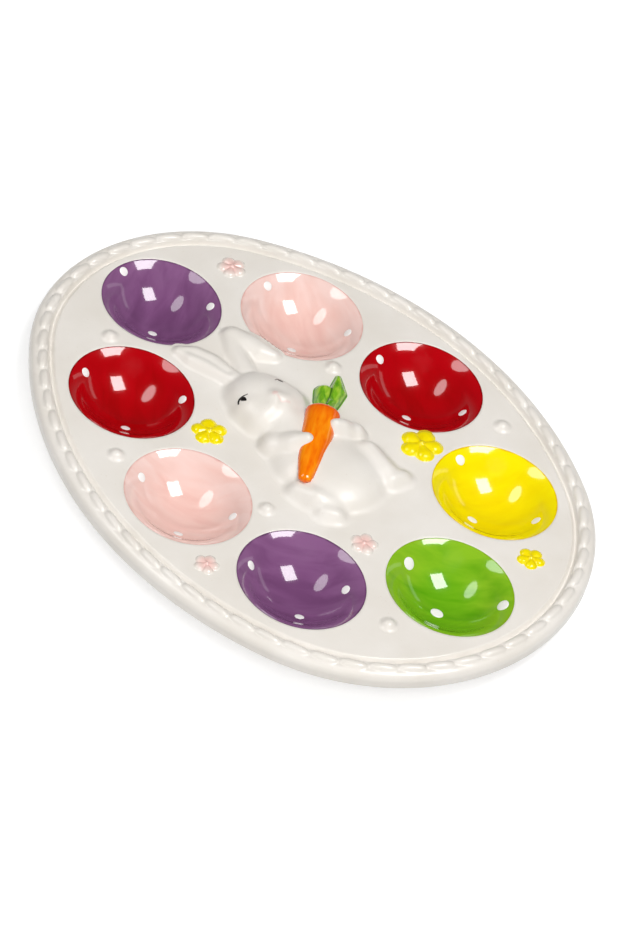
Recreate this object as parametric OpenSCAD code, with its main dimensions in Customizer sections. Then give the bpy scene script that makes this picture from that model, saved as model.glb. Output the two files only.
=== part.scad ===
// Egg-shaped platter for eight halved eggs, in glazed ceramic, with a rabbit in relief.
// Millimetres. The origin is under the middle of the outline and the table is z = 0.
// The narrow end, where the rabbit's ears lie, points along +Y.

/* [Outline] */
// Length from the blunt end to the narrow end
plate_length = 290; // [280:1:310]
// Width at the widest place
plate_width = 220; // [214:1:240]
// Radius of the outline round the blunt end
blunt_radius = 102; // [94:1:106]
// Radius of the outline round the narrow end
narrow_radius = 86; // [78:1:90]
// Thickness of the floor
floor_thickness = 5; // [3.5:0.5:6]

/* [Wells] */
// Width of a well's mouth
well_width = 54.5; // [46:0.5:56]
// Length of a well's mouth
well_length = 58.5; // [50:0.5:59]
// Depth of a well below the floor
well_depth = 14; // [10:0.5:20]
// Radius of the soft lip that turns from the floor down into a well
well_lip_radius = 11; // [6:0.5:14]
// Slope of the lip where it leaves the floor, in degrees
well_edge_slope = 12; // [8:1:24]
// Thickness of the bowl under a well
bowl_wall = 3; // [2:0.1:3.5]
// Thickness of the colour glaze in a well
glaze_thickness = 0.7; // [0.4:0.1:1]
// Gap between the bowls and the table
bowl_clearance = 1.8; // [0.5:0.1:5]

/* [Rim] */
// Width of the rim from its outer edge to the floor
rim_width = 11.4; // [10.6:0.1:12]
// Height of the rim's flat top over the floor
rim_rise = 0.6; // [0.2:0.1:3]
// Depth of the groove between the floor and the rim
groove_depth = 1.8; // [0.5:0.1:3]
// Width over which the floor falls into the groove
fall_width = 2.2; // [1:0.1:2.4]
// Width over which the rim rises out of the groove
rise_width = 1.6; // [1:0.1:1.8]
// Drop of the outer lip below the floor
lip_drop = 7; // [6.5:0.5:10]
// Width of the lip that hangs outside the foot
lip_width = 7; // [5:0.25:8]
// Rounding of the rim's upper edge
edge_radius = 3.4; // [0.5:0.1:3.5]
// Rounding of the lip's lower edge
lip_radius = 1.5; // [0.5:0.1:2.5]

/* [Foot] */
// Thickness of the foot where it joins the rim
foot_root = 3.5; // [3:0.25:4]
// Width of the ring that stands on the table
foot_width = 3; // [2:0.25:5]
// Distance of the standing ring from the outline
foot_inset = 15; // [12:0.5:20]
// Rounding of the standing ring's edges
foot_radius = 1; // [0.4:0.1:1]
// Depth to which the standing ring is ground flat
foot_grind = 0.3; // [0.1:0.1:0.3]

/* [Stitched border] */
// Spacing of the stitches along the rim
stitch_pitch = 12.7; // [11:0.1:18]
// Gap between one stitch and the next
stitch_gap = 0.8; // [0.4:0.1:4]
// Width of a stitch
stitch_width = 4; // [2.5:0.1:4.2]
// Height of a stitch over the rim
stitch_height = 1.4; // [0.6:0.1:1.9]
// Distance of the stitches from the outline
stitch_inset = 5.5; // [5:0.1:6]
// Slant of each stitch to the row
stitch_slant = 4; // [0:1:6]

/* [Beads and flowers] */
// Width of a round bead
bead_width = 8; // [5:0.5:10]
// Height of a round bead
bead_height = 2.2; // [1:0.1:2.5]
// Width of the largest flower
flower_width = 17; // [12:0.5:18]
// Height of the largest flower
flower_height = 2.4; // [1.2:0.1:3]

/* [Rabbit] */
// Length from the ear's tip to the feet
rabbit_length = 122; // [114:1:124]
// Width of the skull
skull_width = 32; // [29:0.5:35]
// Height of the skull over the floor
skull_height = 10; // [8:0.5:12]
// Width of a cheek
cheek_width = 19.5; // [16:0.5:22]
// Height of a cheek
cheek_height = 8.5; // [6:0.5:10]
// Width of one half of the muzzle
muzzle_width = 9; // [7:0.5:11]
// Width of an ear
ear_width = 14.5; // [11:0.5:16]
// Height of an ear
ear_height = 4.5; // [3:0.5:7]
// Width of the trunk
trunk_width = 43; // [36:0.5:46]
// Height of the trunk
trunk_height = 8.2; // [6:0.1:10]
// Width of an arm at the shoulder
arm_width = 13; // [10:0.5:14]
// Width of a thigh
thigh_width = 13.5; // [11:0.5:15]
// Height of a thigh
thigh_height = 7.4; // [6:0.1:9]
// Width of a foot
paw_width = 9; // [7:0.5:11]
// Height of a foot
paw_height = 4.8; // [4:0.1:6]

/* [Carrot] */
// Width of the carrot at its shoulder
carrot_width = 14.5; // [11:0.5:16]
// Width of the carrot at its tip
carrot_tip_width = 4.5; // [3:0.25:6]
// Width of a leaf
leaf_width = 8; // [5:0.25:9]
// Height of a leaf
leaf_height = 3.5; // [2:0.25:6]

/* [Hidden] */
// Every cut runs past the solid that it cuts by this much
overrun = 1;
// How far the bowl's sphere bites into the lip's ring, so that the two cross cleanly
lip_bite = 0.05;
// Steps of each outline arc, of each eased edge and of each modelled form
ARC_STEPS = 20;
EASE_STEPS = 3;
FORM_STEPS = 8;
FORM_SIDES = 18;
STITCH_STEPS = 5;
PETALS = 5;

// The wells' names, and their places as shares of half the width and half the length
WELL_NAMES = ["purple_top", "pink_top", "red_top", "red_side", "pink_side", "yellow", "purple_low", "green"];
WELL_COLOURS = ["#784b82", "#f0cdc3", "#b4000a", "#b4000a", "#f0cdc3", "#f5e100", "#784b82", "#50a514"];
WELL_SHARES = [
  [0, 0.708], [0.46, 0.435], [-0.435, 0.44], [0.625, 0],
  [-0.6, 0.005], [0.49, -0.465], [-0.495, -0.435], [-0.01, -0.69]
];

// The flowers' names and places, and their sizes as shares of the largest
FLOWER_NAMES = ["yellow_left", "yellow_right", "yellow_low", "pink_top", "pink_left", "pink_low"];
FLOWER_COLOURS = ["#f5d728", "#f5d728", "#f5d728", "#f0bebe", "#f0bebe", "#f0bebe"];
FLOWER_SHARES = [
  [-0.305, 0.18], [0.4, -0.2], [0.37, -0.735], [0.385, 0.715], [-0.77, -0.245], [-0.16, -0.425]
];
FLOWER_SIZE_SHARES = [0.82, 1, 0.65, 0.72, 0.6, 0.66];
// How far a petal's middle is from the flower's, and the widths of a petal and of the eye
PETAL_PLACE_SHARE = 0.3;
PETAL_WIDTH_SHARE = 0.4;
EYE_WIDTH_SHARE = 0.3;

// The beads' names and places
BEAD_NAMES = ["ear", "left", "belly", "carrot", "right", "low"];
BEAD_SHARES = [
  [-0.315, 0.665], [-0.71, 0.25], [-0.375, -0.16], [0.375, 0.205], [0.765, -0.265], [-0.355, -0.71]
];

// Places on the rabbit, as shares of its length from the middle of the platter's floor:
// across, along and up
SKULL_SHARES = [[-0.012, 0.25, 0], [-0.012, 0.234, 0]];
CHEEK_SHARES = [[-0.074, 0.166, 0], [0.049, 0.166, 0]];
MUZZLE_SHARES = [[-0.03, 0.154, 0.053], [0.016, 0.154, 0.053]];
LEFT_EAR_SHARES = [[-0.049, 0.377, 0.01], [-0.107, 0.594, 0]];
RIGHT_EAR_SHARES = [[0.035, 0.377, 0.01], [0.102, 0.549, 0]];
LOP_SHARES = [[0.127, 0.541, 0.006], [0.168, 0.434, 0.004]];
TRUNK_SHARES = [[-0.008, 0.041, 0], [-0.008, -0.197, 0]];
LEFT_ARM_SHARES = [[-0.127, 0.033, 0.02], [-0.053, -0.037, 0.057]];
RIGHT_ARM_SHARES = [[0.152, -0.049, 0.012], [0.093, -0.045, 0.053]];
LEFT_THIGH_SHARES = [[-0.168, -0.213, 0], [-0.164, -0.287, 0]];
RIGHT_THIGH_SHARES = [[0.154, -0.164, 0], [0.148, -0.279, 0]];
LEFT_PAW_SHARES = [[-0.184, -0.336, 0], [-0.143, -0.344, 0]];
RIGHT_PAW_SHARES = [[0.127, -0.332, 0], [0.193, -0.336, 0]];
CARROT_SHARES = [[0.084, 0.021, 0.053], [-0.16, -0.177, 0.049]];
LEAF_SHARES = [[0.307, 0.183, 0.008], [0.221, 0.154, 0.012]];
// Widths at the far end of a form, as shares of the width at its near end
EAR_TIP_SHARE = 0.45;
EAR_SWELL_SHARE = 0.2;
LEAF_TIP_SHARES = [0.25, 1.15];
LEAF_SWELL_SHARES = [0.35, 0];
TRUNK_SHOULDER_SHARE = 0.8;
THIGH_TOP_SHARE = 0.94;
ARM_PAW_SHARE = 0.8;
EAR_STEM_SHARE = 0.6;
EAR_LOP_SHARE = 0.78;
// Swelling of the carrot on its way to the tip, and how flat it is, as shares of its width and half width
CARROT_SWELL_SHARE = 0.24;
CARROT_FLAT_SHARE = 0.68;
// Depth and width of the fold inside the left ear, as shares of the ear's height and width
EAR_GROOVE_DEPTH_SHARE = 0.5;
EAR_GROOVE_WIDTH_SHARE = 0.3;

// The outline is four arcs that meet smoothly: two sides, the narrow end and the blunt end
half_width = plate_width / 2;
half_length = plate_length / 2;
blunt_y = blunt_radius - half_length;
narrow_y = half_length - narrow_radius;
end_spacing = narrow_y - blunt_y;
blunt_slack = half_width - blunt_radius;
narrow_slack = half_width - narrow_radius;
slack_ratio = narrow_slack / blunt_slack - 1;
slack_term = narrow_slack * narrow_slack - blunt_slack * narrow_slack - end_spacing * end_spacing;
side_lift = (sqrt(end_spacing * end_spacing - slack_ratio * slack_term) - end_spacing) / slack_ratio;
side_x = (side_lift * side_lift - blunt_slack * blunt_slack) / (2 * blunt_slack);
side_y = blunt_y + side_lift;
side_radius = side_x + half_width;
blunt_turn = atan2(side_y - blunt_y, side_x);
narrow_turn = atan2(narrow_y - side_y, side_x);
// Each arc is its centre, radius, first angle and sweep
ARCS = [
  [[-side_x, side_y], side_radius, -blunt_turn, blunt_turn + narrow_turn],
  [[0, narrow_y], narrow_radius, narrow_turn, 180 - 2 * narrow_turn],
  [[side_x, side_y], side_radius, 180 - narrow_turn, blunt_turn + narrow_turn],
  [[0, blunt_y], blunt_radius, 180 + blunt_turn, 180 - 2 * blunt_turn]
];

// A well is a sphere's hollow under a lip that is part of a ring, all narrowed across. The ring's
// middle lies under the floor, and the sphere's centre over it, where the two just cross.
mouth_radius = well_length / 2;
well_narrowing = well_width / well_length;
lip_place = mouth_radius + well_lip_radius * sin(well_edge_slope);
lip_depth = well_lip_radius * cos(well_edge_slope);
lip_lift = lip_depth - well_depth;
lip_reach = well_lip_radius - lip_bite;
lip_term = lip_place * lip_place + lip_lift * lip_lift - lip_reach * lip_reach;
well_radius = lip_term / (2 * (lip_reach - lip_lift));
well_centre = well_radius - well_depth;
wall_slope = asin(lip_place / (well_radius + lip_reach));
seat_radius = well_radius + glaze_thickness;
bowl_radius = seat_radius + bowl_wall;
seat_mouth = mouth_radius + glaze_thickness;

floor_z = well_depth + glaze_thickness + bowl_wall + bowl_clearance;
seat_z = floor_z - floor_thickness;
rim_z = floor_z + rim_rise;

// The stitch is the upper part of a long grain whose axis lies inside the rim
stitch_half = stitch_width / 2;
stitch_round = (stitch_half * stitch_half + stitch_height * stitch_height) / (2 * stitch_height);
stitch_sink = stitch_round - stitch_height;
stitch_row = row_length(0);
stitch_count = round(stitch_row / stitch_pitch);
stitch_step = stitch_row / stitch_count;
stitch_half_length = (stitch_step - stitch_gap) / 2;

function arc_length(arc, inset) = (arc[1] - inset) * arc[3] * PI / 180;
function row_length(k) = k == len(ARCS) ? 0 : arc_length(ARCS[k], stitch_inset) + row_length(k + 1);
function arc_point(arc, angle, inset) = arc[0] + (arc[1] - inset) * [cos(angle), sin(angle)];
// The stations round the outline, each an arc and an angle on it
STATIONS = [for (arc = ARCS) for (i = [0 : ARC_STEPS - 1]) [arc, arc[2] + arc[3] * i / ARC_STEPS]];
function egg_points(inset) = [for (station = STATIONS) arc_point(station[0], station[1], inset)];
// The angle on its arc, and the arc, at a distance along the row of stitches
function row_place(distance, k) =
  distance < arc_length(ARCS[k], stitch_inset) || k == len(ARCS) - 1
    ? [k, ARCS[k][2] + ARCS[k][3] * distance / arc_length(ARCS[k], stitch_inset)]
    : row_place(distance - arc_length(ARCS[k], stitch_inset), k + 1);
function plate_place(shares) = [shares[0] * half_width, shares[1] * half_length, 0];
function rabbit_place(shares) = shares * rabbit_length + [0, 0, floor_z];
// A smooth rise from 0 to 1, and a hump that is 1 in the middle
function ease(t) = (1 - cos(180 * t)) / 2;
function hump(t) = 4 * t * (1 - t);
function capped_sphere(width, height) = (width * width / 4 + height * height) / (2 * height);

// The points of a rounded corner, from one angle to another
function corner(centre, radius, from, to) = [
  for (i = [0 : EASE_STEPS]) let (a = from + (to - from) * i / EASE_STEPS)
    centre + radius * [cos(a), sin(a)]
];

// Sections have their zero at the outline, and run clockwise seen with the outside to the right
function rim_section() = concat(
  [for (i = [0 : EASE_STEPS]) let (t = i / EASE_STEPS) [fall_width * t - rim_width, -groove_depth * ease(t)]],
  [
    for (i = [1 : EASE_STEPS]) let (t = i / EASE_STEPS)
      [fall_width + rise_width * t - rim_width, (groove_depth + rim_rise) * ease(t) - groove_depth]
  ],
  corner([-edge_radius, rim_rise - edge_radius], edge_radius, 90, 0),
  corner([-lip_radius, lip_radius - lip_drop], lip_radius, 0, -90),
  [[-lip_width, -floor_thickness], [-rim_width, -floor_thickness]]
);

function foot_section() = concat(
  [[-lip_width - foot_root, seat_z + foot_grind], [-lip_width, seat_z + foot_grind]],
  corner([-foot_inset - foot_radius, foot_radius], foot_radius, 0, -90),
  corner([-foot_inset - foot_width + foot_radius, foot_radius], foot_radius, -90, -180)
);

// A section is swept along the four arcs as one closed loft
module along_outline(section) {
  count = len(section);
  turns = len(STATIONS);
  polyhedron(
    [for (station = STATIONS) for (p = section) concat(arc_point(station[0], station[1], -p[0]), p[1])],
    [
      for (i = [0 : turns - 1]) for (j = [0 : count - 1])
        let (k = (i + 1) % turns, m = (j + 1) % count)
          [i * count + j, k * count + j, k * count + m, i * count + m]
    ]
  );
}

// Cuts away everything over or under a level
module keep_below(level, reach) {
  difference() {
    children();
    translate([-reach, -reach, level])
      cube([2 * reach, 2 * reach, 2 * reach]);
  }
}

module keep_above(level, reach) {
  difference() {
    children();
    translate([-reach, -reach, level - 2 * reach])
      cube([2 * reach, 2 * reach, 2 * reach]);
  }
}

module at_well(i) {
  translate(plate_place(WELL_SHARES[i]) + [0, 0, floor_z])
    children();
}

// Relief that reaches a well stops at the well's edge
module clear_of_wells() {
  difference() {
    children();
    for (i = [0 : len(WELL_SHARES) - 1])
      at_well(i)
        translate([0, 0, -overrun])
          scale([well_narrowing, 1, 1])
            cylinder(r = seat_mouth, h = rabbit_length, $fn = 60);
  }
}

module narrowed() {
  scale([well_narrowing, 1, 1])
    children();
}

module well_sphere(radius) {
  translate([0, 0, well_centre])
    narrowed()
      sphere(r = radius, $fn = 120);
}

// The hollow of a well, grown into the clay, with its lip up to a reach past the mouth and the floor
module well_hollow(growth, reach) {
  wall_level = well_centre - (well_radius + growth) * cos(wall_slope);
  well_sphere(well_radius + growth);
  narrowed()
    rotate_extrude($fn = 120)
      difference() {
        translate([0, wall_level])
          square([mouth_radius + reach, reach - wall_level]);
        translate([lip_place, -lip_depth])
          circle(r = well_lip_radius - growth, $fn = 120);
      }
}

module well_seat() {
  well_hollow(glaze_thickness, glaze_thickness);
}

module platter_floor() {
  color("#ece6dd")
    difference() {
      translate([0, 0, seat_z])
        linear_extrude(floor_thickness)
          polygon(egg_points(rim_width));
      for (i = [0 : len(WELL_SHARES) - 1])
        at_well(i)
          well_seat();
    }
}

module rim_border() {
  color("#ece6dd")
    translate([0, 0, floor_z])
      along_outline(rim_section());
}

module foot_ring() {
  color("#e2dbd0")
    keep_above(0, plate_length)
      translate([0, 0, -foot_grind])
        along_outline(foot_section());
}

module well_bowl(i) {
  color("#ece6dd")
    at_well(i)
      keep_below(-floor_thickness, 2 * bowl_radius)
        difference() {
          well_sphere(bowl_radius);
          well_sphere(seat_radius);
        }
}

module well_glaze(i) {
  color(WELL_COLOURS[i])
    at_well(i)
      keep_below(0, 2 * bowl_radius)
        difference() {
          well_seat();
          well_hollow(0, 2 * glaze_thickness);
        }
}

module stitch() {
  half = [
    for (i = [-STITCH_STEPS : STITCH_STEPS]) let (t = i / STITCH_STEPS)
      [stitch_round * sqrt(1 - pow(t, 4)), stitch_half_length * sin(90 * t)]
  ];
  keep_above(0, stitch_step)
    translate([0, 0, -stitch_sink])
      rotate([90, 0, 0])
        rotate_extrude($fn = 32)
          polygon(half);
}

module border_stitches() {
  color("#f1ece4")
    for (i = [0 : stitch_count - 1]) {
      place = row_place(i * stitch_step, 0);
      translate(arc_point(ARCS[place[0]], place[1], stitch_inset))
        translate([0, 0, rim_z])
          rotate(place[1] + stitch_slant)
            stitch();
    }
}

module cap(width, height) {
  radius = capped_sphere(width, height);
  keep_above(0, 2 * radius)
    translate([0, 0, height - radius])
      sphere(r = radius, $fn = 60);
}

module bead(i) {
  color("#f1ece4")
    translate(plate_place(BEAD_SHARES[i]) + [0, 0, floor_z])
      cap(bead_width, bead_height);
}

module flower(i) {
  size = flower_width * FLOWER_SIZE_SHARES[i];
  height = flower_height * FLOWER_SIZE_SHARES[i];
  color(FLOWER_COLOURS[i])
    translate(plate_place(FLOWER_SHARES[i]) + [0, 0, floor_z]) {
      for (k = [0 : PETALS - 1])
        rotate(90 + 360 * k / PETALS)
          translate([size * PETAL_PLACE_SHARE, 0, 0])
            cap(size * PETAL_WIDTH_SHARE, height);
      cap(size * EYE_WIDTH_SHARE, height);
    }
}

// A modelled form runs from one place to another, with a swelling on the way
module form(ends, widths, height, swell = 0) {
  from = rabbit_place(ends[0]);
  to = rabbit_place(ends[1]);
  for (i = [0 : FORM_STEPS - 1])
    hull()
      for (t = [i / FORM_STEPS, (i + 1) / FORM_STEPS]) {
        radius = (widths[0] + (widths[1] - widths[0]) * t + swell * hump(t)) / 2;
        translate(from + (to - from) * t)
          scale([1, 1, height / max(widths) * 2])
            sphere(r = radius, $fn = FORM_SIDES);
      }
}

module on_floor() {
  keep_above(floor_z, plate_length)
    children();
}

module trunk_form() {
  form(TRUNK_SHARES, [trunk_width * TRUNK_SHOULDER_SHARE, trunk_width], trunk_height);
}

module head_form() {
  form(SKULL_SHARES, [skull_width, skull_width], skull_height);
  form(CHEEK_SHARES, [cheek_width, cheek_width], cheek_height);
  form(MUZZLE_SHARES, [muzzle_width, muzzle_width], muzzle_width / 2);
}

module left_ear_form() {
  form(LEFT_EAR_SHARES, ear_width * [1, EAR_TIP_SHARE], ear_height, ear_width * EAR_SWELL_SHARE);
}

// The fold inside the ear follows its middle
module left_ear_fold() {
  width = ear_width * EAR_GROOVE_WIDTH_SHARE;
  lift = [0, 0, ear_height];
  translate(lift)
    form(LEFT_EAR_SHARES, width * [1, EAR_TIP_SHARE], ear_height * EAR_GROOVE_DEPTH_SHARE);
}

// The right ear stands up and its end folds over
module right_ear_form() {
  form(RIGHT_EAR_SHARES, ear_width * EAR_STEM_SHARE * [1, 1], ear_height);
  form(LOP_SHARES, ear_width * EAR_LOP_SHARE * [1, 1], ear_height);
}

module left_arm_form() {
  form(LEFT_ARM_SHARES, arm_width * [1, ARM_PAW_SHARE], arm_width / 2);
}

module right_arm_form() {
  form(RIGHT_ARM_SHARES, arm_width * [1, ARM_PAW_SHARE], arm_width / 2);
}

module left_thigh_form() {
  form(LEFT_THIGH_SHARES, thigh_width * [THIGH_TOP_SHARE, 1], thigh_height);
}

module right_thigh_form() {
  form(RIGHT_THIGH_SHARES, thigh_width * [THIGH_TOP_SHARE, 1], thigh_height);
}

module carrot_form() {
  form(CARROT_SHARES, [carrot_width, carrot_tip_width], carrot_width / 2 * CARROT_FLAT_SHARE,
    carrot_width * CARROT_SWELL_SHARE);
}

module rabbit_trunk() {
  color("#f4f0ea")
    on_floor()
      trunk_form();
}

module rabbit_head() {
  color("#f4f0ea")
    on_floor()
      difference() {
        head_form();
        trunk_form();
      }
}

module rabbit_left_ear() {
  color("#f4f0ea")
    on_floor()
      clear_of_wells()
        difference() {
          left_ear_form();
          left_ear_fold();
          head_form();
        }
}

module rabbit_right_ear() {
  color("#f4f0ea")
    on_floor()
      clear_of_wells()
        difference() {
          right_ear_form();
          head_form();
          left_ear_form();
        }
}

module rabbit_left_arm() {
  color("#f4f0ea")
    on_floor()
      difference() {
        left_arm_form();
        trunk_form();
        head_form();
      }
}

module rabbit_right_arm() {
  color("#f4f0ea")
    on_floor()
      difference() {
        right_arm_form();
        trunk_form();
        head_form();
      }
}

module rabbit_left_thigh() {
  color("#f4f0ea")
    on_floor()
      difference() {
        left_thigh_form();
        trunk_form();
        left_arm_form();
      }
}

module rabbit_right_thigh() {
  color("#f4f0ea")
    on_floor()
      difference() {
        right_thigh_form();
        trunk_form();
        right_arm_form();
      }
}

module rabbit_left_foot() {
  color("#f4f0ea")
    on_floor()
      difference() {
        form(LEFT_PAW_SHARES, [paw_width, paw_width], paw_height);
        left_thigh_form();
        trunk_form();
      }
}

module rabbit_right_foot() {
  color("#f4f0ea")
    on_floor()
      difference() {
        form(RIGHT_PAW_SHARES, [paw_width, paw_width], paw_height);
        right_thigh_form();
        trunk_form();
      }
}

module carrot_root() {
  color("#ff8200")
    on_floor()
      difference() {
        carrot_form();
        trunk_form();
        head_form();
        left_arm_form();
        right_arm_form();
        left_thigh_form();
      }
}

module carrot_leaves() {
  color("#6ebe3c")
    on_floor()
      clear_of_wells()
        difference() {
          for (i = [0 : len(LEAF_SHARES) - 1])
            form([CARROT_SHARES[0], LEAF_SHARES[i]], leaf_width * [1, LEAF_TIP_SHARES[i]], leaf_height,
              leaf_width * LEAF_SWELL_SHARES[i]);
          carrot_form();
          head_form();
          right_arm_form();
          trunk_form();
        }
}

platter_floor();
rim_border();
foot_ring();
for (i = [0 : len(WELL_NAMES) - 1]) {
  well_bowl(i);
  well_glaze(i);
}
border_stitches();
for (i = [0 : len(BEAD_NAMES) - 1])
  bead(i);
for (i = [0 : len(FLOWER_NAMES) - 1])
  flower(i);
rabbit_trunk();
rabbit_head();
rabbit_left_ear();
rabbit_right_ear();
rabbit_left_arm();
rabbit_right_arm();
rabbit_left_thigh();
rabbit_right_thigh();
rabbit_left_foot();
rabbit_right_foot();
carrot_root();
carrot_leaves();
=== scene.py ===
"""Looks of the deviled egg platter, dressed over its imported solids."""

import math

import bpy
import numpy as np
from mathutils import Matrix, Vector
from mathutils.geometry import delaunay_2d_cdt


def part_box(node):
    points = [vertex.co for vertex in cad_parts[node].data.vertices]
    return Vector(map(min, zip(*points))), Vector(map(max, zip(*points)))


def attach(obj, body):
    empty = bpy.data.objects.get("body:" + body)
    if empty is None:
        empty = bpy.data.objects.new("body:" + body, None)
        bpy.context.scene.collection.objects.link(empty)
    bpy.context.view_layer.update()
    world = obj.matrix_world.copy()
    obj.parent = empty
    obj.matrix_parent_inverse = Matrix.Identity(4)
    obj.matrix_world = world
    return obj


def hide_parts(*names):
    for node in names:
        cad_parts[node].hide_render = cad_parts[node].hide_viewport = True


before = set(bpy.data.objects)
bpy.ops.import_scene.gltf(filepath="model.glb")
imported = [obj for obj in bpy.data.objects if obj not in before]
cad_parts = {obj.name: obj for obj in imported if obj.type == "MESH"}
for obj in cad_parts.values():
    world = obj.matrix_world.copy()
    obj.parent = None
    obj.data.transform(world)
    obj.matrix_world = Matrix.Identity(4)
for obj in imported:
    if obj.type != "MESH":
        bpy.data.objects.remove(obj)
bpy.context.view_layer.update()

# All sizes below are millimetres in the frame of the solids; meshes are made in metres
MM = 0.001


def node_box(name):
    """Lowest and highest corner of a solid."""
    low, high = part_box(name)
    return np.array(low) / MM, np.array(high) / MM


RIM_LOW, RIM_HIGH = node_box("rim_border")
SLAB_LOW, SLAB_HIGH = node_box("platter_floor")
FLOOR_Z = SLAB_HIGH[2]
SEAT_Z = SLAB_LOW[2]
HALF_WIDTH = (RIM_HIGH[0] - RIM_LOW[0]) / 2
HALF_LENGTH = (RIM_HIGH[1] - RIM_LOW[1]) / 2

# Outline: four tangent arcs, tighter at the narrow end
BLUNT_RADIUS = 102.0
NARROW_RADIUS = 86.0

# Border, from the outer edge inwards
RIM_WIDTH = 11.4
RIM_RISE = 0.6
GROOVE_DEPTH = 1.8
FALL_WIDTH = 2.2
RISE_WIDTH = 1.6
EDGE_RADIUS = 3.4
LIP_DROP = 7.0
LIP_WIDTH = 7.0
LIP_RADIUS = 1.5
# Width of the flat ring kept round each edge of the floor
MARGIN = 0.3

# Foot under the border
FOOT_ROOT = 3.5
FOOT_INSET = 15.0
FOOT_WIDTH = 3.0
FOOT_ROUND = 1.0
# Shares of the foot wall's height between which it is straight
FOOT_STRAIGHT = (0.1, 0.94)

# Stitch pads on the border
STITCHES = 61
PAD_STATIONS = 16
PAD_INSET = 5.5
PAD_LENGTH = 12.3
PAD_WIDTH = 4.4
PAD_HEIGHT = 1.5
PAD_SLANT = math.radians(4.0)
# How square a pad is along, across and up
PAD_END_POWER = 3.2
PAD_SIDE_POWER = 2.2
PAD_CROWN_POWER = 0.7

# Wells: the white floor rolls over to the edge of the colour, which a soft lip takes down into a bowl
WELL_NAMES = (
    "purple_top", "pink_top", "red_top", "red_side", "pink_side", "yellow", "purple_low", "green"
)
MOUTH_SHARE = 0.9766
MOUTH_TRIMS = {"purple_top": 0.975}
WELL_DEPTH = 14.0
WELL_LIP = 22.0
EDGE_SLOPE = math.radians(24.0)
EDGE_ROLL = 3.0
EDGE_DROP = EDGE_ROLL * (1 - math.cos(EDGE_SLOPE))
FILM = 0.06
LINING = 0.45
SEAT_GAP = 0.5
BOWL_WALL = 3.5
WELL_SIDES = 144

# Output kind of the triangulation that stays inside the outer ring, and its welding distance
INSIDE = 1
WELD = 1e-6


class Shell:
    """Points and faces of one closed piece."""

    def __init__(self):
        self.points = []
        self.faces = []
        self.marks = []

    def add(self, points):
        start = len(self.points)
        self.points.extend(tuple(map(float, p)) for p in points)
        return list(range(start, len(self.points)))

    def face(self, corners, mark=0):
        self.faces.append(tuple(corners))
        self.marks.append(mark)

    def bridge(self, ring, following, mark=0):
        """Faces between two closed rings; looking along the ring, the following one lies on the left."""
        for i, corner in enumerate(ring):
            j = (i + 1) % len(ring)
            self.face((corner, ring[j], following[j], following[i]), mark)

    def strip(self, row, following):
        """Faces between two open rows of points."""
        for i in range(len(row) - 1):
            self.face((row[i], row[i + 1], following[i + 1], following[i]))

    def fan(self, ring, tip):
        for i, corner in enumerate(ring):
            self.face((corner, ring[(i + 1) % len(ring)], tip))

    def fill(self, outer, holes, upward):
        """Flat triangles between an outer ring and the rings of its holes."""
        loops = [outer] + holes
        members = [corner for loop in loops for corner in loop]
        order = {corner: i for i, corner in enumerate(members)}
        coords = [Vector(self.points[corner][:2]) for corner in members]
        edges = []
        for loop in loops:
            ahead = loop[1:] + loop[:1]
            edges.extend((order[a], order[b]) for a, b in zip(loop, ahead))
        found = delaunay_2d_cdt(coords, edges, [], INSIDE, WELD)
        origin = [members[sources[0]] for sources in found[3]]
        home = {corner: i for i, loop in enumerate(holes) for corner in loop}
        for triangle in found[2]:
            corners = [origin[i] for i in triangle]
            if corners[0] in home and len({home.get(corner) for corner in corners}) == 1:
                continue
            a, b, c = (Vector(self.points[i][:2]) for i in corners)
            turns_left = (b - a).cross(c - a) > 0
            self.face(corners if turns_left == upward else corners[::-1])

    def piece(self, name, materials, origin=(0, 0, 0), tint=None):
        """Makes the object, smooth shaded, riding on the one body."""
        shift = np.array(origin)
        mesh = bpy.data.meshes.new(name)
        mesh.from_pydata([tuple((np.array(p) - shift) * MM) for p in self.points], [], self.faces)
        for material in materials:
            mesh.materials.append(material)
        mesh.polygons.foreach_set("material_index", self.marks)
        mesh.polygons.foreach_set("use_smooth", [True] * len(self.faces))
        if tint is not None:
            layer = mesh.attributes.new("tint", "FLOAT", "POINT")
            layer.data.foreach_set("value", [float(t) for t in tint])
        mesh.validate()
        mesh.update()
        made = bpy.data.objects.new(name, mesh)
        made.location = Vector(origin) * MM
        bpy.context.scene.collection.objects.link(made)
        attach(made, "root")
        return made


def ease(share):
    """Smooth step from 0 to 1."""
    return share * share * (3 - 2 * share)


def spread(start, end, steps):
    """Evenly spaced values, both ends included."""
    return np.linspace(start, end, steps + 1)


# Outline


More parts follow.
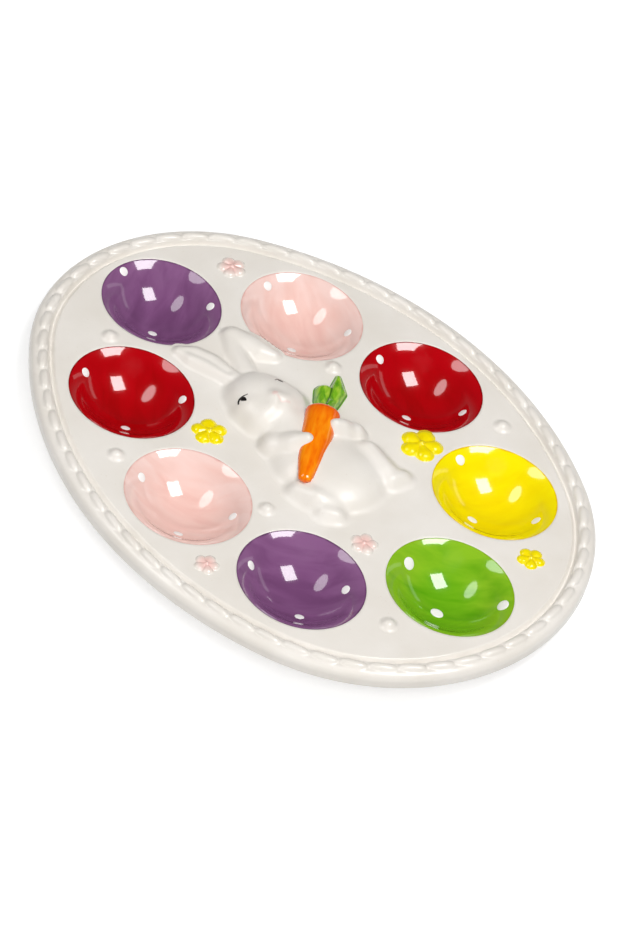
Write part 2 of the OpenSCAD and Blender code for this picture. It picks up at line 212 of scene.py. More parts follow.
def outline_arcs():
    """Centre, radius, start angle and turn of the four arcs, counterclockwise from the right side."""
    blunt_y = BLUNT_RADIUS - HALF_LENGTH
    narrow_y = HALF_LENGTH - NARROW_RADIUS
    blunt_slack = HALF_WIDTH - BLUNT_RADIUS
    narrow_slack = HALF_WIDTH - NARROW_RADIUS
    square = narrow_slack - blunt_slack
    linear = blunt_slack * narrow_y - narrow_slack * blunt_y
    blunt_term = blunt_y**2 + blunt_slack * (HALF_WIDTH + BLUNT_RADIUS)
    narrow_term = narrow_y**2 + narrow_slack * (HALF_WIDTH + NARROW_RADIUS)
    plain = narrow_slack * blunt_term - blunt_slack * narrow_term
    side_y = (math.sqrt(linear**2 - square * plain) - linear) / square
    side_radius = ((side_y - blunt_y)**2 / blunt_slack + HALF_WIDTH + BLUNT_RADIUS) / 2
    side_x = side_radius - HALF_WIDTH
    low = math.atan2(blunt_y - side_y, side_x)
    high = math.atan2(narrow_y - side_y, side_x)
    return (
        ((-side_x, side_y), side_radius, low, high - low),
        ((0, narrow_y), NARROW_RADIUS, high, math.pi - 2 * high),
        ((side_x, side_y), side_radius, math.pi - high, high - low),
        ((0, blunt_y), BLUNT_RADIUS, math.pi - low, math.pi + 2 * low),
    )


def stations(count, inset):
    """Points of the outline and their outward directions, evenly spaced along a line set in by inset."""
    arcs = outline_arcs()
    lengths = [(radius - inset) * turn for _, radius, _, turn in arcs]
    points = []
    normals = []
    for k in range(count):
        walk = k / count * sum(lengths)
        for (centre, radius, start, turn), length in zip(arcs, lengths):
            if walk <= length:
                break
            walk -= length
        angle = start + turn * walk / length
        normal = np.array((math.cos(angle), math.sin(angle)))
        points.append(np.array(centre) + radius * normal)
        normals.append(normal)
    return np.array(points), np.array(normals), sum(lengths)


# Distance between two stitches along their row
PITCH = stations(1, PAD_INSET)[2] / STITCHES


# Body


def quarter(centre, radius, start, end, steps):
    """Points of an arc in the section, as inset and height over the floor."""
    turned = spread(math.radians(start), math.radians(end), steps)
    return [(centre[0] + radius * math.cos(a), centre[1] + radius * math.sin(a)) for a in turned]


def border_section():
    """Section of the groove, border, lip and foot, as inset and height over the floor."""
    fall_end = RIM_WIDTH - FALL_WIDTH
    rise_end = fall_end - RISE_WIDTH
    ground = -FLOOR_Z
    seat = SEAT_Z - FLOOR_Z
    section = [(RIM_WIDTH + MARGIN, 0.0)]
    section += [(RIM_WIDTH - FALL_WIDTH * t, -GROOVE_DEPTH * ease(t)) for t in spread(0, 1, 9)]
    rise = GROOVE_DEPTH + RIM_RISE
    section += [(fall_end - RISE_WIDTH * t, rise * ease(t) - GROOVE_DEPTH) for t in spread(0, 1, 9)[1:]]
    section += [(inset, RIM_RISE) for inset in spread(rise_end, EDGE_RADIUS, 16)[1:-1]]
    section += quarter((EDGE_RADIUS, RIM_RISE - EDGE_RADIUS), EDGE_RADIUS, 90, 180, 7)
    section += [(0.0, -LIP_DROP / 2)]
    section += quarter((LIP_RADIUS, LIP_RADIUS - LIP_DROP), LIP_RADIUS, 180, 270, 6)
    section += [(LIP_WIDTH / 2, -LIP_DROP)]
    section += quarter((LIP_WIDTH - FOOT_ROUND, FOOT_ROUND - LIP_DROP), FOOT_ROUND, 270, 360, 4)
    section += [(LIP_WIDTH, seat)]
    slant = FOOT_INSET - LIP_WIDTH
    drop = ground - seat
    section += [(LIP_WIDTH + slant * t, seat + drop * t) for t in spread(*FOOT_STRAIGHT, 4)]
    section += [(FOOT_INSET + 0.5 * FOOT_ROUND, ground + 0.2 * FOOT_ROUND)]
    section += [(FOOT_INSET + FOOT_ROUND, ground)]
    section += [(FOOT_INSET + FOOT_WIDTH - FOOT_ROUND, ground)]
    section += [(FOOT_INSET + FOOT_WIDTH, ground + 0.5 * FOOT_ROUND)]
    root = LIP_WIDTH + FOOT_ROOT
    back = FOOT_INSET + FOOT_WIDTH - root
    section += [(root + back * t, seat + drop * t) for t in spread(FOOT_STRAIGHT[1], 0, 4)]
    section += [(root + MARGIN, seat)]
    return section


def pad_height(along, inset):
    """Height of the stitch pads over the border; along is counted in pitches from a pad's middle."""
    run = along * PITCH
    side = inset - PAD_INSET + math.tan(PAD_SLANT) * run
    end_share = abs(2 * run / PAD_LENGTH) ** PAD_END_POWER
    side_share = abs(2 * side / PAD_WIDTH) ** PAD_SIDE_POWER
    return PAD_HEIGHT * max(0.0, 1 - end_share - side_share) ** PAD_CROWN_POWER


class Well:
    """Place and shape of one well, from its solid: a lip that is part of a ring, over a sphere's hollow."""

    def __init__(self, name):
        low, high = node_box("well_glaze_" + name)
        self.name = name
        self.centre = (low + high)[:2] / 2
        half = (high - low)[:2] / 2 * MOUTH_SHARE * MOUTH_TRIMS.get(name, 1.0)
        self.edge = half[1]
        self.narrowing = half[0] / half[1]
        self.lip_place = self.edge + WELL_LIP * math.sin(EDGE_SLOPE)
        self.lip_sink = EDGE_DROP + WELL_LIP * math.cos(EDGE_SLOPE)
        lift = self.lip_sink - WELL_DEPTH
        self.radius = (self.lip_place**2 + lift**2 - WELL_LIP**2) / (2 * (WELL_LIP - lift))
        self.top = self.radius - WELL_DEPTH
        self.steepest = math.asin(self.lip_place / (self.radius + WELL_LIP))

    def profile(self, sunk, steps):
        """Radius and height over the floor of the lip and bowl, sunk into the clay, from the edge inwards."""
        ring = WELL_LIP - sunk
        bowl = self.radius + sunk
        lip = spread(EDGE_SLOPE, self.steepest, steps // 2)
        points = [(self.lip_place - ring * math.sin(a), ring * math.cos(a) - self.lip_sink) for a in lip]
        hollow = spread(self.steepest, 0, steps)[1:-1]
        points += [(bowl * math.sin(a), self.top - bowl * math.cos(a)) for a in hollow]
        return points, self.top - bowl

    def wall(self, x, y, lift):
        """Point on the wall at a place in an unnarrowed well, lifted along the normal, and the slope."""
        reach = math.hypot(x, y)
        if reach > self.radius * math.sin(self.steepest):
            slope = math.asin((self.lip_place - reach) / WELL_LIP)
            height = WELL_LIP * math.cos(slope) - self.lip_sink
        else:
            slope = math.asin(reach / self.radius)
            height = self.top - self.radius * math.cos(slope)
        inward = 1 - lift * math.sin(slope) / max(reach, FILM)
        point = (
            self.centre[0] + self.narrowing * x * inward,
            self.centre[1] + y * inward,
            FLOOR_Z + height + lift * math.cos(slope),
        )
        return point, slope

    def ring(self, radius, height, sides=WELL_SIDES):
        turned = np.linspace(0, 2 * math.pi, sides, endpoint=False)
        x = self.centre[0] + self.narrowing * radius * np.cos(turned)
        y = self.centre[1] + radius * np.sin(turned)
        return np.stack([x, y, np.full(sides, FLOOR_Z + height)], axis=1)


def platter_body(wells, materials):
    """The white casting: border, floor, bowls and foot in one closed shell."""
    count = STITCHES * PAD_STATIONS
    points, normals, _ = stations(count, PAD_INSET)
    shell = Shell()
    rings = []
    section = border_section()
    border_top = (RIM_WIDTH - FALL_WIDTH - RISE_WIDTH * 0.6, EDGE_RADIUS * 0.5)
    for inset, height in section:
        place = points - inset * normals
        rise = np.full(count, FLOOR_Z + height)
        if border_top[1] < inset < border_top[0]:
            phase = (np.arange(count) / PAD_STATIONS) % 1 - 0.5
            rise += [pad_height(along, inset) for along in phase]
        rings.append(shell.add(np.column_stack([place, rise])))
    ground = [i for i, (_, height) in enumerate(section) if height == -FLOOR_Z]
    for i in range(len(rings) - 1):
        shell.bridge(rings[i + 1], rings[i], 1 if i in ground and i + 1 in ground else 0)
    mouths = []
    undersides = []
    for well in wells:
        roll = well.edge + EDGE_ROLL * math.sin(EDGE_SLOPE)
        profile = [(roll + MARGIN, 0.0)]
        for turned in spread(0, EDGE_SLOPE, 4):
            profile.append((roll - EDGE_ROLL * math.sin(turned), EDGE_ROLL * (math.cos(turned) - 1)))
        seat, bottom = well.profile(SEAT_GAP, 8)
        courses = [shell.add(well.ring(radius, height)) for radius, height in profile + seat]
        for ring, following in zip(courses, courses[1:]):
            shell.bridge(ring, following)
        shell.fan(courses[-1], shell.add([(*well.centre, FLOOR_Z + bottom)])[0])
        mouths.append(courses[0])
        undersides.append(bowl_underside(shell, well))
    shell.fill(rings[0], mouths, True)
    shell.fill(rings[-1], undersides, False)
    return shell.piece("platter_body", materials)


def bowl_underside(shell, well):
    """Outer side of a bowl under the floor; gives back its ring on the underside of the floor."""
    outer = well.radius + BOWL_WALL
    top = well.top
    seat = SEAT_Z - FLOOR_Z
    start = math.acos((top - seat) / outer)
    turned = spread(start, 0, 14)[:-1]
    rings = [shell.add(well.ring(outer * math.sin(a), top - outer * math.cos(a))) for a in turned]
    flat = shell.add(well.ring(outer * math.sin(start) + 2 * MARGIN, seat))
    shell.bridge(flat, rings[0])
    shell.faces[-WELL_SIDES:] = [face[::-1] for face in shell.faces[-WELL_SIDES:]]
    for ring, following in zip(rings, rings[1:]):
        shell.bridge(following, ring)
    tip = shell.add([(*well.centre, FLOOR_Z + top - outer)])[0]
    shell.fan(rings[-1][::-1], tip)
    return flat


def well_lining(well, material):
    """The colour glaze of a well: a thin closed shell over the lip and bowl."""
    shell = Shell()
    over, over_tip = well.profile(-FILM, 36)
    under, under_tip = well.profile(LINING, 36)
    over.insert(0, (well.edge + FILM, -EDGE_DROP))
    under[0] = (well.edge - FILM, under[0][1])
    upper = [shell.add(well.ring(*point)) for point in over]
    lower = [shell.add(well.ring(*point)) for point in under]
    for ring, following in zip(upper, upper[1:]):
        shell.bridge(ring, following)
    shell.fan(upper[-1], shell.add([(*well.centre, FLOOR_Z + over_tip)])[0])
    for ring, following in zip(lower, lower[1:]):
        shell.bridge(following, ring)
    shell.fan(lower[-1][::-1], shell.add([(*well.centre, FLOOR_Z + under_tip)])[0])
    shell.bridge(lower[0], upper[0])
    made = shell.piece("lining_" + well.name, [material], origin=(*well.centre, FLOOR_Z))
    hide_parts("well_glaze_" + well.name)


# Painted dots in each well, as shares of its half width and half length
DOT_SHARES = {
    "purple_top": ((-0.06, 0.90), (0.74, -0.41), (-0.27, -0.18)),
    "pink_top": ((0.03, 0.86), (-0.34, -0.23), (0.55, -0.55)),
    "red_top": ((-0.29, 0.77), (0.70, -0.45), (-0.29, -0.28)),
    "red_side": ((-0.11, 0.85), (0.37, -0.64), (-0.34, -0.13)),
    "pink_side": ((-0.29, 0.75), (-0.37, -0.28), (0.49, -0.54)),
    "yellow": ((0.07, 0.85), (0.33, -0.66), (-0.39, -0.01)),
    "purple_low": ((-0.40, 0.69), (0.62, -0.38), (-0.23, -0.31)),
    "green": ((-0.12, 0.77), (0.55, -0.64), (-0.19, -0.03)),
}
DOT_RADIUS = 2.2
DOT_TRIMS = {"green": 1.36, "yellow": 1.1}
DOT_RISE = 0.25


def well_dots(well, material):
    """White dots of thick glaze that lie on the wall of a well."""
    shell = Shell()
    size = DOT_RADIUS * DOT_TRIMS.get(well.name, 1.0)
    turned = np.linspace(0, 2 * math.pi, 24, endpoint=False)
    for share_x, share_y in DOT_SHARES[well.name]:
        middle = np.array((share_x, share_y)) * well.edge
        outward = middle / np.linalg.norm(middle)
        across = np.array((-outward[1], outward[0]))
        tilt = math.cos(well.wall(*middle, 0)[1])

        def course(share, lift):
            reach = size * share
            spots = [middle + reach * (math.cos(a) * outward * tilt + math.sin(a) * across) for a in turned]
            return shell.add([well.wall(*spot, lift)[0] for spot in spots])

        rings = [course(1.0, -FILM)]
        for share in (1.0, 0.92, 0.75, 0.5, 0.25):
            rings.append(course(share, FILM + DOT_RISE * (1 - share**2) ** 0.7))
        for ring, following in zip(rings, rings[1:]):
            shell.bridge(ring, following)
        shell.fan(rings[-1], shell.add([well.wall(*middle, FILM + DOT_RISE)[0]])[0])
        shell.fan(rings[0][::-1], shell.add([well.wall(*middle, -FILM)[0]])[0])
    made = shell.piece("dots_" + well.name, [material])


# Reliefs


# How far a relief's edge dips under the floor, and how deep its root goes
RELIEF_SINK = 0.06
RELIEF_ROOT = 0.8


class Relief:
    """Heights over the floor on an even grid, raised by rounded forms."""

    def __init__(self, low, high, step):
        self.step = step
        self.low = np.array(low)
        size = np.round((np.array(high) - self.low) / step).astype(int) + 1
        self.x = self.low[0] + step * np.arange(size[0])[:, None] + np.zeros(size)
        self.y = self.low[1] + step * np.arange(size[1])[None, :] + np.zeros(size)
        self.height = np.zeros(size)
        self.tint = np.zeros(size)

    def reach(self, path):
        """Distance from each grid point to a path, and how far along the path it is nearest."""
        nearest = np.full(self.x.shape, 1e9)
        place = np.zeros(self.x.shape)
        for i, ((ax, ay), (bx, by)) in enumerate(zip(path, path[1:])):
            span = (bx - ax)**2 + (by - ay)**2
            share = np.clip(((self.x - ax) * (bx - ax) + (self.y - ay) * (by - ay)) / span, 0, 1)
            gap = np.hypot(self.x - ax - share * (bx - ax), self.y - ay - share * (by - ay))
            closer = gap < nearest
            nearest = np.where(closer, gap, nearest)
            place = np.where(closer, i + share, place)
        return nearest, place

    def form(self, path, widths, heights, fullness=0.6):
        """Raises a rounded form along a path of points."""
        gap, place = self.reach(path)
        stops = np.arange(len(path))
        share = gap / (np.interp(place, stops, widths) / 2)
        raised = np.interp(place, stops, heights) * np.clip(1 - share**2, 0, 1)**fullness
        self.height = np.maximum(self.height, raised)
        return raised

    def dome(self, at, size, height, fullness=0.6):
        """Raises one oval dome."""
        share = np.hypot((self.x - at[0]) * 2 / size[0], (self.y - at[1]) * 2 / size[1])
        raised = height * np.clip(1 - share**2, 0, 1)**fullness
        self.height = np.maximum(self.height, raised)
        return raised

    def groove(self, path, depth, width):
        gap, _ = self.reach(path)
        self.height -= depth * np.exp(-(2 * gap / width)**2) * (self.height > depth)

    def swell(self, at, height, width):
        gap = np.hypot(self.x - at[0], self.y - at[1])
        self.height += height * np.exp(-(2 * gap / width)**2)

    def soften(self, width):
        """Blurs the heights, so that forms run into each other softly."""
        reach = int(math.ceil(3 * width / self.step))
        offsets = np.arange(-reach, reach + 1) * self.step
        weights = np.exp(-0.5 * (offsets / width)**2)
        weights /= weights.sum()
        for axis in (0, 1):
            total = np.zeros(self.height.shape)
            for weight, shift in zip(weights, range(-reach, reach + 1)):
                total += weight * np.roll(self.height, shift, axis)
            self.height = total

    def at(self, x, y):
        """Height at any place, between the grid points."""
        u = (x - self.low[0]) / self.step
        v = (y - self.low[1]) / self.step
        i = int(u)
        j = int(v)
        u -= i
        v -= j
        h = self.height
        near = h[i, j] * (1 - u) + h[i + 1, j] * u
        far = h[i, j + 1] * (1 - u) + h[i + 1, j + 1] * u
        return near * (1 - v) + far * v

    def piece(self, name, materials):
        """Closed mesh of the raised part, whose edge dips just under the floor."""
        used = self.height > RELIEF_SINK / 3
        cells = used[:-1, :-1] | used[1:, :-1] | used[:-1, 1:] | used[1:, 1:]
        shell = Shell()
        number = -np.ones(self.height.shape, int)
        tints = []
        for i, j in zip(*np.nonzero(cells)):
            for corner in ((i, j), (i + 1, j), (i + 1, j + 1), (i, j + 1)):
                if number[corner] < 0:
                    z = FLOOR_Z + self.height[corner] - RELIEF_SINK
                    number[corner] = shell.add([(self.x[corner], self.y[corner], z)])[0]
                    tints.append(self.tint[corner])
        tops = len(shell.points)
        base = FLOOR_Z - RELIEF_ROOT
        shell.add([(x, y, base) for x, y, _ in shell.points])
        for i, j in zip(*np.nonzero(cells)):
            corners = [number[i, j], number[i + 1, j], number[i + 1, j + 1], number[i, j + 1]]
            shell.face(corners)
            shell.face([corner + tops for corner in corners[::-1]])
            sides = ((0, 1, (i, j - 1)), (1, 2, (i + 1, j)), (2, 3, (i, j + 1)), (3, 0, (i - 1, j)))
            for a, b, (k, m) in sides:
                inside = 0 <= k < cells.shape[0] and 0 <= m < cells.shape[1] and cells[k, m]
                if not inside:
                    shell.face((corners[b], corners[a], corners[a] + tops, corners[b] + tops))
        return shell.piece(name, materials, tint=tints + tints)


# Middle lines of the left ear and of the folded end of the right ear
LEFT_EAR = ((-4, 46), (-5, 51), (-7.3, 60), (-10.6, 67.6), (-13.4, 72.6))
RIGHT_LOBE = ((13.9, 68.3), (16.4, 60.6), (18.8, 53.8), (21.6, 49.2))

# Lowest and highest corner and step of the rabbit's grid
RABBIT_GRID = ((-36, -54), (36, 84), 0.4)
# The rabbit's masses: middle line, and widths and heights along it
RABBIT_MASSES = {
    "trunk": ([(-1, 6), (-2.5, -12), (-1.5, -24)], (34, 45, 44), (7.5, 8.2, 8.2)),
    "left thigh": ([(-23, -22.5), (-19.5, -30.5), (-14.5, -37.5)], (11, 13, 9), (5.2, 6.8, 4.8)),
    "right thigh": ([(18.8, -20), (18, -34)], (12.5, 12.5), (7.4, 6.4)),
    "left foot": ([(-21.5, -38.5), (-17.5, -42.5)], (9, 9), (4.4, 4.2)),
    "right foot": ([(16.5, -39.2), (22.8, -39.8)], (9, 9), (5.2, 4.6)),
    "face": ([(-8.5, 25.5), (5.0, 26)], (22, 22), (9.2, 9.2)),
    "left cheek": ([(-9.5, 20.5), (-7.5, 20)], (19.5, 19.5), (8.8, 8.8)),
    "right cheek": ([(4.5, 20.5), (7, 21.5)], (19.5, 19.5), (8.8, 8.8)),
}
# Place, size and height of the skull's dome
SKULL = ((-1.5, 29.5), (32, 34), 10.0)
# Ears and arms, laid on the softened masses, with their fullness as well
RABBIT_LIMBS = {
    "left ear": (LEFT_EAR, (9.5, 10.5, 13.5, 13, 7), (4.4, 4.3, 4.2, 3.8, 2.6), 0.5),
    "right ear": ([(4.3, 46), (9, 60), (13.5, 69)], (10, 10.5, 10), (3.6, 3.2, 3.5), 0.5),
    "folded end": (RIGHT_LOBE, (11, 13.2, 12, 8), (4.0, 4.6, 4.4, 3.2), 0.6),
    "left arm": ([(-14, 4), (-10.5, -0.3), (-5.4, -5.2)], (16, 16.5, 13), (6.5, 9.6, 12.3), 0.6),
    "right arm": ([(20.5, -8), (16.5, -6.4), (11.6, -4.8)], (13.5, 14, 11.5), (6.8, 10.2, 12.2), 0.6),
}
# Place, height and width of the two halves of the muzzle, the nose and the chin
RABBIT_SWELLS = (
    ((-3.6, 18.8), 1.7, 10), ((2.0, 18.8), 1.7, 10), ((-0.8, 22.6), 1.6, 6), ((-0.8, 14.2), 1.2, 9)
)
# Line, depth and width of the ear's hollow and of the mouth
RABBIT_GROOVES = (
    ([(-5, 49), (-7.5, 60), (-11.7, 69.5)], 1.2, 3.0),
    ([(-0.8, 21), (-0.8, 18.2)], 0.5, 1.4),
    ([(-0.8, 18.2), (-4.0, 16.4)], 0.5, 1.4),
    ([(-0.8, 18.2), (2.6, 16.4)], 0.5, 1.4),
)
# Widths over which the masses, and then the whole rabbit, are softened
MASS_BLUR = 1.3
RABBIT_BLUR = 0.95
# Pink of the nose and of the mouth
NOSE_PLACE = (-0.8, 22.9)
NOSE_RADIUS = 1.6
NOSE_TINT = 0.34
MOUTH_LINE = ((-0.8, 21), (-0.8, 18.2), (2.6, 16.4))
MOUTH_WIDTH = 0.5
MOUTH_TINT = 0.26


def rabbit_relief():
    """The rabbit that lies in the middle of the platter, as one softly modelled relief."""
    relief = Relief(*RABBIT_GRID)
    for form in RABBIT_MASSES.values():
        relief.form(*form)
    relief.dome(*SKULL)
    relief.soften(MASS_BLUR)
    for form in RABBIT_LIMBS.values():
        relief.form(*form)
    for swell in RABBIT_SWELLS:
        relief.swell(*swell)
    for groove in RABBIT_GROOVES:
        relief.groove(*groove)
    relief.soften(RABBIT_BLUR)
    from_nose = np.hypot(relief.x - NOSE_PLACE[0], (relief.y - NOSE_PLACE[1]) * 1.3)
    nose = np.exp(-(from_nose / NOSE_RADIUS)**4)
    mouth = np.exp(-(relief.reach(MOUTH_LINE)[0] / MOUTH_WIDTH)**2)
    relief.tint = np.maximum(nose * NOSE_TINT, mouth * MOUTH_TINT)
    return relief


def stroke(shell, path, widths, surface, lift):
    """A thin closed band of paint that lies on a relief."""
    rows = []
    for i, (x, y) in enumerate(path):
        before = Vector(path[max(i - 1, 0)])
        after = Vector(path[min(i + 1, len(path) - 1)])
        ahead = (after - before).normalized()
        side = Vector((-ahead.y, ahead.x)) * widths[i] / 2
        row = []
        for share, rise in ((-1, -0.1), (-0.6, lift), (0, 1.5 * lift), (0.6, lift), (1, -0.1)):
            px = x + share * side.x
            py = y + share * side.y
            row.append((px, py, FLOOR_Z + surface.at(px, py) - RELIEF_SINK + rise))
        rows.append(shell.add(row))
    for row, following in zip(rows, rows[1:]):
        shell.strip(following, row)
        shell.face((row[0], row[-1], following[-1], following[0]))
    shell.face(rows[0])
    shell.face(rows[-1][::-1])


def eased_path(corners, steps):
    """A smooth line through its corners, with even steps between them."""
    corners = [np.array(c, float) for c in corners]
    ends = [2 * corners[0] - corners[1]] + corners + [2 * corners[-1] - corners[-2]]
    line = []
    for a, b, c, d in zip(ends, ends[1:], ends[2:], ends[3:]):
        for t in np.arange(steps) / steps:
            square = 2 * a - 5 * b + 4 * c - d
            cube = 3 * b - a - 3 * c + d
            line.append(0.5 * (2 * b + (c - a) * t + square * t**2 + cube * t**3))
    return [tuple(p) for p in line] + [tuple(corners[-1])]


# Middle of each eye, and which way is outward
EYE_PLACES = ((-12.6, 29.6, -1), (9.2, 30.2, 1))
# Corners of the upper lash, outward and up from the middle of the eye, and of the pupil
LASH = ((2.9, -0.3), (1.9, 1.0), (0, 1.7), (-2.8, 0.9))
PUPIL = ((0, 1.7), (-0.1, 0), (0, -1.6))
# Shares along each stroke, its widths there, and how thick the paint lies
LASH_WIDTHS = ((0, 0.5, 1), (0.6, 1.4, 0.6))
PUPIL_WIDTHS = ((0, 0.3, 0.6, 1), (1.4, 2.6, 2.5, 0.6))
LASH_LIFT = 0.08
PUPIL_LIFT = 0.12


def rabbit_eyes(surface, material):
    """Painted pupils and upper lashes."""
    shell = Shell()
    for x, y, outward in EYE_PLACES:
        lash = eased_path([(x + outward * out, y + rise) for out, rise in LASH], 6)
        along = np.linspace(0, 1, len(lash))
        stroke(shell, lash, np.interp(along, *LASH_WIDTHS), surface, LASH_LIFT)
        pupil = eased_path([(x + right, y + rise) for right, rise in PUPIL], 6)
        along = np.linspace(0, 1, len(pupil))
        stroke(shell, pupil, np.interp(along, *PUPIL_WIDTHS), surface, PUPIL_LIFT)
    made = shell.piece("rabbit_eyes", [material])


# Ends of the carrot, with heights over the floor, and its half widths at shares of its length
CARROT_CROWN = (16.2, 7.6, 6.4)
CARROT_TIP = (-21.3, -23.1, 6.0)
CARROT_SHARES = (0, 0.08, 0.2, 0.42, 0.72, 0.9, 1)
CARROT_HALVES = (7.2, 8.0, 7.6, 7.2, 5.4, 3.6, 2.6)
CARROT_FLAT = 0.66
# Shares of the length over which the crown and the tip are rounded, and the roundness
CROWN_SHARE = 0.1
TIP_SHARE = 0.06
END_POWER = 2.4
# Red at the crown, the share of the length over which it fades, and painted shade in red along the sides
CROWN_TINT = 0.9
CROWN_FADE = 0.22
SIDE_SHADE = 0.5


def carrot_root(material):
    """The carrot: a tapered root with a blunt crown, a little flat, painted redder at its crown, with painted
    shade in red along its sides.
    """
    floor = np.array((0, 0, FLOOR_Z))
    crown = floor + CARROT_CROWN
    tip = floor + CARROT_TIP
    ahead = (tip - crown)[:2] / np.linalg.norm((tip - crown)[:2])
    side = np.array((-ahead[1], ahead[0], 0))
    up = np.array((0, 0, 1))
    shell = Shell()
    turned = np.linspace(0, 2 * math.pi, 40, endpoint=False)
    rings = []
    tints = []
    for share in 1 - np.cos(spread(0, math.pi / 2, 44)[1:-1]):
        blunt = 1 - (1 - min(share / CROWN_SHARE, 1)) ** END_POWER
        sharp = 1 - (1 - min((1 - share) / TIP_SHARE, 1)) ** END_POWER
        half = np.interp(share, CARROT_SHARES, CARROT_HALVES) * math.sqrt(blunt * sharp)
        middle = crown + (tip - crown) * share
        ring = [middle + half * (math.cos(a) * side + CARROT_FLAT * math.sin(a) * up) for a in turned]
        rings.append(shell.add(ring))
        red = CROWN_TINT * (1 - min(share / CROWN_FADE, 1))
        # red along the sides is painted shade where the root turns away from the light
        tints += [red + SIDE_SHADE * math.cos(a) ** 6 for a in turned]
    for ring, following in zip(rings, rings[1:]):
        shell.bridge(following, ring)
    shell.fan(rings[0], shell.add([crown])[0])
    shell.fan(rings[-1][::-1], shell.add([tip])[0])
    tints += [CROWN_TINT, SIDE_SHADE]
    made = shell.piece("carrot_painted", [material], origin=tuple(crown), tint=tints)
    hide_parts("carrot_root")


LEAF_GRID = ((8, 0), (46, 32), 0.3)
# The rounded leaf and the pointed one: middle line, and widths and heights along it
LEAVES = (
    ([(18, 9), (22, 14.5), (27, 18.8)], (6, 8, 9.5), (6.0, 4.6, 3.6)),
    ([(20, 9), (26, 12), (32, 16), (39, 23.4)], (5, 6.5, 8.5, 2), (6.0, 4.4, 3.6, 1.6)),
)
LEAF_VEINS = ([(20, 11), (24, 15.5), (29, 20)], [(24, 11), (30, 14.5), (37, 21)])
VEIN_DEPTH = 0.5
VEIN_WIDTH = 1.0
LEAF_BLUR = 0.4
# Width of the painted shade where the leaves meet, as a difference of height, and the least height painted
LEAF_CREASE_SHADE = 0.9
LEAF_FOOT = 0.2


def carrot_leaves(material):
    """A rounded leaf and a pointed one, with veins, and painted shade where they meet."""
    relief = Relief(*LEAF_GRID)
    rounded, pointed = [relief.form(*leaf) for leaf in LEAVES]
    for vein in LEAF_VEINS:
        relief.groove(vein, VEIN_DEPTH, VEIN_WIDTH)
    relief.soften(LEAF_BLUR)
    # the tint is painted shade in the crease where the two leaves meet
    relief.tint = np.exp(-((rounded - pointed) / LEAF_CREASE_SHADE)**2) * (relief.height > LEAF_FOOT)
    made = relief.piece("leaves_painted", [material])
    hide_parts("carrot_leaves")


# Reach of a bead's soft foot, and the width and power of its swell, as shares of its half width
BEAD_FOOT = 1.3
BEAD_SWELL = 0.76
BEAD_POWER = 2.8


def floor_bead(name, material):
    """A raised white dot on the floor, run out softly at its foot."""
    low, high = node_box("bead_" + name)
    centre = (low + high)[:2] / 2
    half = (high - low)[0] / 2
    rise = high[2] - FLOOR_Z
    shell = Shell()
    turned = np.linspace(0, 2 * math.pi, 48, endpoint=False)
    rings = []
    for reach in spread(BEAD_FOOT, 0, 18)[:-1]:
        height = rise * math.exp(-abs(reach / BEAD_SWELL) ** BEAD_POWER) - RELIEF_SINK
        ring = []
        for a in turned:
            x = centre[0] + half * reach * math.cos(a)
            y = centre[1] + half * reach * math.sin(a)
            ring.append((x, y, FLOOR_Z + height))
        rings.append(shell.add(ring))
    for ring, following in zip(rings, rings[1:]):
        shell.bridge(ring, following)
    shell.fan(rings[-1], shell.add([(*centre, FLOOR_Z + rise - RELIEF_SINK)])[0])
    foot = [shell.points[i] for i in rings[0]]
    base = shell.add([(x, y, FLOOR_Z - RELIEF_ROOT) for x, y, _ in foot])
    shell.bridge(base, rings[0])
    shell.fan(base[::-1], shell.add([(*centre, FLOOR_Z - RELIEF_ROOT)])[0])
    made = shell.piece("bead_glazed_" + name, [material])
    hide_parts("bead_" + name)


PETALS = 5
FLOWER_REACH = 1.08
# Where a petal starts and ends, its widths there and the heart's, as shares of the flower's half width
PETAL_ENDS = (0.3, 0.62)
PETAL_WIDTHS = (0.5, 0.9)
HEART_WIDTH = 0.42
# Heights of the petals and the heart, and depth and softness of the lines, as shares of the flower's rise
PETAL_HEIGHTS = (0.8, 0.85)
HEART_HEIGHT = 1.08
LINE_DEPTH = 0.2
LINE_WIDTH = 0.16
LINE_FOOT = 0.15
PETAL_BLUR = 0.05
# How much of the second colour is washed over the middle of a flower, and drawn between its petals
FLOWER_PAINT = {"yellow": (0.12, 0.5), "pink": (0.8, 0.3)}


def floor_flower(name, material, turn):
    """A five-petal flower in low relief, its petals parted by lines."""
    low, high = node_box("flower_" + name)
    centre = (low + high)[:2] / 2
    half = np.max((high - low)[:2]) / 2 * FLOWER_REACH
    rise = high[2] - FLOOR_Z
    relief = Relief(centre - half * 1.15, centre + half * 1.15, half / 34)
    widths = [share * half for share in PETAL_WIDTHS]
    heights = [share * rise for share in PETAL_HEIGHTS]
    petals = []
    for k in range(PETALS):
        angle = turn + 2 * math.pi * k / PETALS
        out = np.array((math.cos(angle), math.sin(angle)))
        ends = [centre + share * half * out for share in PETAL_ENDS]
        petals.append(relief.form(ends, widths, heights, 0.5))
    ranked = np.sort(np.stack(petals), axis=0)
    heart = relief.dome(centre, (HEART_WIDTH * half, HEART_WIDTH * half), rise * HEART_HEIGHT, 0.4)
    near = (ranked[-1] - ranked[-2]) / (LINE_WIDTH * rise)
    line = np.exp(-near**2) * (ranked[-1] > LINE_FOOT * rise)
    relief.height -= LINE_DEPTH * rise * line * (heart <= 0)
    relief.soften(PETAL_BLUR * half)
    outward = np.hypot(relief.x - centre[0], relief.y - centre[1]) / half
    wash, lines = FLOWER_PAINT[name.split("_")[0]]
    faded = np.clip(1 - outward**2, 0, 1)
    relief.tint = np.clip(wash * faded + lines * line * faded * (heart <= 0), 0, 1)
    made = relief.piece("petals_" + name, [material])
    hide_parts("flower_" + name)


# Materials


COAT_ROUGHNESS = 0.03


